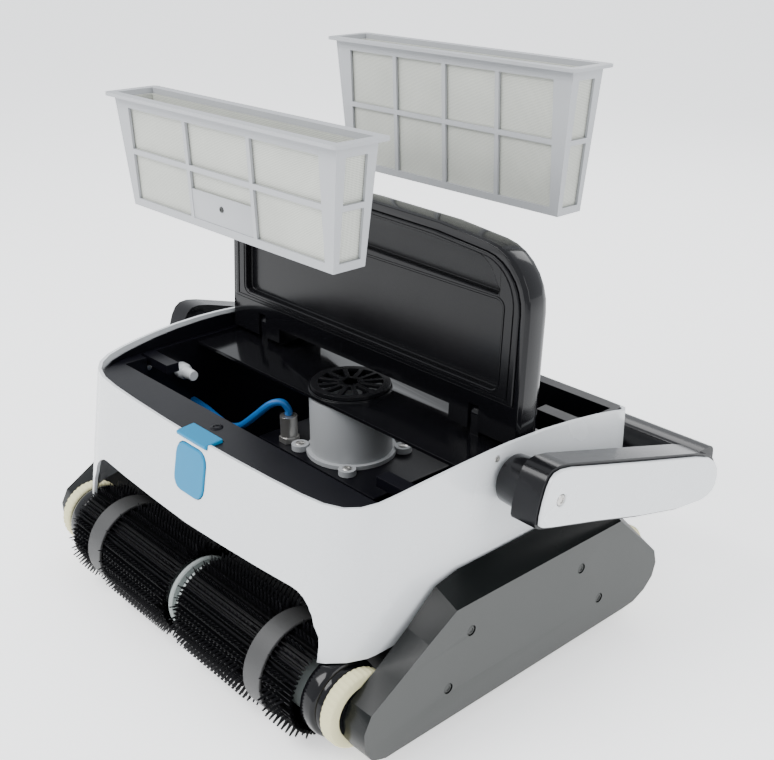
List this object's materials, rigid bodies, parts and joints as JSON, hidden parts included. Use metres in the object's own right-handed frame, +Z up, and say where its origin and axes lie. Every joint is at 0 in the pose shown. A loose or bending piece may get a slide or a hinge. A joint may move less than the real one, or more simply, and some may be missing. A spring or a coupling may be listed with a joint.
{
  "type": "pool cleaner",
  "caption": "Robotic pool cleaner with a white body, dark side covers, a brush at each end, open black lid, two lift-out filter baskets and a carrying handle",
  "frame": {"origin": "on the floor, under the middle of the bounding box", "axes": "+X to the cleaner's right as seen from the front, -Y the front with the latch, +Z up"},
  "size_m": [0.47, 0.3869, 0.4412],
  "materials": {
    "shell_white": "glossy white moulded plastic",
    "gloss_black": "glossy black moulded plastic",
    "tub_black": "satin black moulded plastic",
    "cover_grey": "fine textured dark grey plastic",
    "brush_black": "soft black PVC",
    "band_grey": "grey elastic band",
    "roller_grey": "pale grey-green plastic",
    "grip_cream": "cream foam rubber",
    "pump_grey": "light grey moulded plastic",
    "latch_blue": "bright blue plastic",
    "cable_blue": "blue cable jacket",
    "basket_grey": "pale grey moulded plastic",
    "mesh_grey": "fine pale filter mesh",
    "metal_grey": "stainless steel",
    "belt_black": "black rubber"
  },
  "bodies": {
    "hull": {"body_shell": "shell_white", "inner_tub": "tub_black", "base_plate": "tub_black", "bridge_deck": "gloss_black", "outlet_grille": "gloss_black", "motor_block": "tub_black", "pump_motor": "metal_grey", "drive_motor": "metal_grey", "pump_housing": "pump_grey", "cable_gland": "metal_grey", "cable_upper": "cable_blue", "cable_lower": "cable_blue", "tub_fitting": "shell_white", "side_cover_left": "cover_grey", "side_cover_right": "cover_grey", "drive_belt": "belt_black", "front_lid_pin_left": "metal_grey", "front_lid_pin_right": "metal_grey", "rear_lid_pin_left": "metal_grey", "rear_lid_pin_right": "metal_grey", "handle_screw_left": "metal_grey", "handle_screw_right": "metal_grey"},
    "drive_shaft": {"drive_pulley": "metal_grey"},
    "impeller": {"impeller": "tub_black"},
    "front_lid": {"front_lid_shell": "gloss_black", "front_lid_liner": "tub_black"},
    "rear_lid": {"rear_lid": "gloss_black"},
    "latch_button": {"latch_button": "latch_blue"},
    "latch_tab": {"latch_tab": "latch_blue"},
    "handle": {"carry_handle": "gloss_black", "handle_plate_left": "shell_white", "handle_plate_right": "shell_white"},
    "front_flap": {"front_inlet_flap": "belt_black"},
    "rear_flap": {"rear_inlet_flap": "belt_black"},
    "front_brush": {"front_brush_roller": "roller_grey", "front_brush_pulley": "tub_black", "front_brush_sleeve_left": "brush_black", "front_brush_sleeve_right": "brush_black", "front_tie_band_left": "band_grey", "front_tie_band_right": "band_grey", "front_end_collar_left": "gloss_black", "front_end_collar_right": "gloss_black", "front_grip_ring_left": "grip_cream", "front_grip_ring_right": "grip_cream"},
    "front_basket": {"front_basket_frame": "basket_grey", "front_basket_mesh": "mesh_grey"},
    "rear_brush": {"rear_brush_roller": "roller_grey", "rear_brush_pulley": "tub_black", "rear_brush_sleeve_left": "brush_black", "rear_brush_sleeve_right": "brush_black", "rear_tie_band_left": "band_grey", "rear_tie_band_right": "band_grey", "rear_end_collar_left": "gloss_black", "rear_end_collar_right": "gloss_black", "rear_grip_ring_left": "grip_cream", "rear_grip_ring_right": "grip_cream"},
    "rear_basket": {"rear_basket_frame": "basket_grey", "rear_basket_mesh": "mesh_grey"}
  },
  "joints": [
    {"name": "front_brush_spin", "type": "hinge", "parent": "hull", "child": "front_brush", "pos_m": [0, -0.14995, 0.0436], "axis": [1, 0, 0], "continuous": true},
    {"name": "rear_brush_spin", "type": "hinge", "parent": "hull", "child": "rear_brush", "pos_m": [0, 0.13805, 0.0436], "axis": [1, 0, 0], "continuous": true},
    {"name": "drive_shaft_spin", "type": "hinge", "parent": "hull", "child": "drive_shaft", "pos_m": [0, 0.00005, 0.0636], "axis": [1, 0, 0], "continuous": true},
    {"name": "impeller_spin", "type": "hinge", "parent": "hull", "child": "impeller", "pos_m": [0, 0.00205, 0.1546], "axis": [0, 0, 1], "continuous": true},
    {"name": "front_lid_hinge", "type": "hinge", "parent": "hull", "child": "front_lid", "pos_m": [0, 0.01805, 0.1971], "axis": [1, 0, 0], "range_deg": [0, 93]},
    {"name": "rear_lid_hinge", "type": "hinge", "parent": "hull", "child": "rear_lid", "pos_m": [0, 0.05055, 0.1971], "axis": [1, 0, 0], "range_deg": [-91, 0]},
    {"name": "latch_button_press", "type": "slide", "parent": "hull", "child": "latch_button", "axis": [0, 1, 0], "range_m": [0, 0.0025], "stiffness_N_per_m": 300},
    {"name": "latch_tab_slide", "type": "slide", "parent": "hull", "child": "latch_tab", "axis": [0, 1, 0], "range_m": [-0.0025, 0]},
    {"name": "handle_swing", "type": "hinge", "parent": "hull", "child": "handle", "pos_m": [0, -0.00795, 0.1736], "axis": [1, 0, 0], "range_deg": [0, 54]},
    {"name": "front_flap_hinge", "type": "hinge", "parent": "hull", "child": "front_flap", "pos_m": [0, -0.08995, 0.0249], "axis": [1, 0, 0], "range_deg": [0, 60]},
    {"name": "rear_flap_hinge", "type": "hinge", "parent": "hull", "child": "rear_flap", "pos_m": [0, 0.05005, 0.0249], "axis": [1, 0, 0], "range_deg": [0, 60]},
    {"name": "front_basket_lift", "type": "slide", "parent": "hull", "child": "front_basket", "axis": [0, -0.0258, 0.9997], "range_m": [-0.23228, 0]},
    {"name": "rear_basket_lift", "type": "slide", "parent": "hull", "child": "rear_basket", "axis": [0, 0.1432, 0.9897], "range_m": [-0.25846, 0]}
  ],
  "couplings": [
    {"joint": "rear_brush_spin", "follows": "front_brush_spin", "ratio": 1},
    {"joint": "drive_shaft_spin", "follows": "front_brush_spin", "ratio": 1},
    {"joint": "latch_tab_slide", "follows": "latch_button_press", "ratio": -1}
  ]
}
